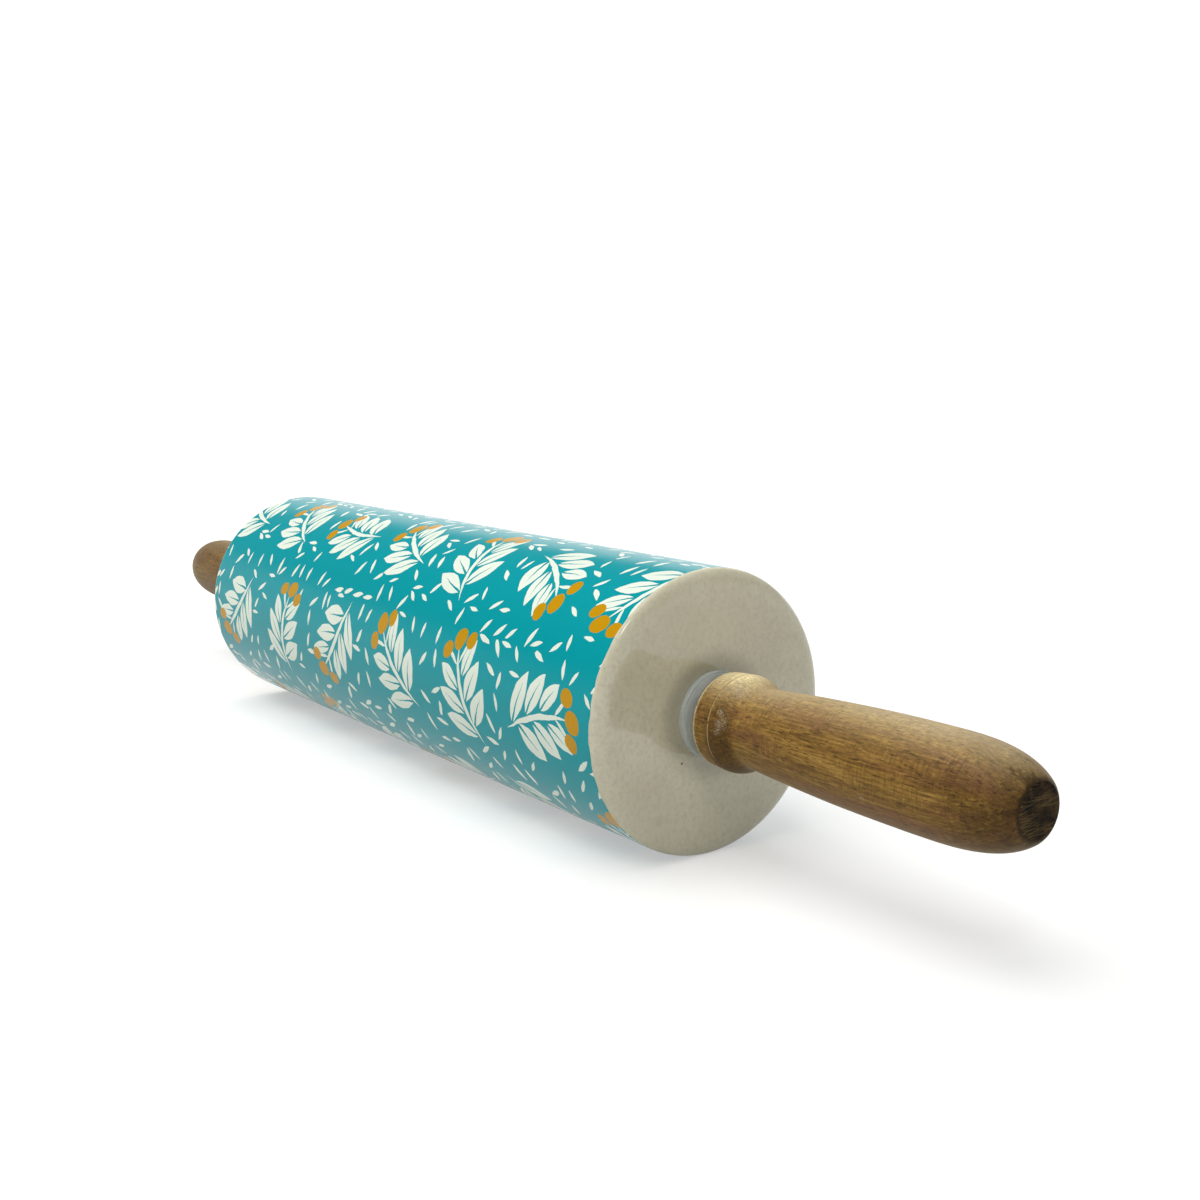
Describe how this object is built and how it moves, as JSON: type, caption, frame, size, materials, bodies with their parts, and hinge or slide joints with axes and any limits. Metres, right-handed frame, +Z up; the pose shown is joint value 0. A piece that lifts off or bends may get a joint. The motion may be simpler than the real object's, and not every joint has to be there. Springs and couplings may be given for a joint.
{
  "type": "ceramic rolling pin",
  "caption": "Rolling pin with a printed, glazed hollow ceramic barrel that turns on a steel axle between two turned wooden handles, for rolling out dough.",
  "frame": {"origin": "middle of the barrel, on the axis that it turns about", "axes": "+X along the axle towards the right handle, +Z up from the surface that the barrel rests on"},
  "size_m": [0.4054, 0.068, 0.068],
  "materials": {
    "glazed_ceramic": "printed under a clear gloss glaze",
    "plated_steel": "drawn and zinc plated",
    "clear_plastic": "moulded, translucent",
    "nylon": "moulded, satin",
    "brass": "turned",
    "turned_wood": "turned, sanded and oiled"
  },
  "bodies": {
    "handles": {"axle_rod": "plated_steel", "right_washer": "nylon", "right_insert": "brass", "right_handle": "turned_wood", "left_washer": "nylon", "left_insert": "brass", "left_handle": "turned_wood"},
    "barrel": {"barrel": "glazed_ceramic", "right_bush": "clear_plastic", "left_bush": "clear_plastic"}
  },
  "joints": [
    {"name": "barrel_spin", "type": "hinge", "parent": "handles", "child": "barrel", "pos_m": [0, 0, 0], "axis": [1, 0, 0], "continuous": true}
  ]
}
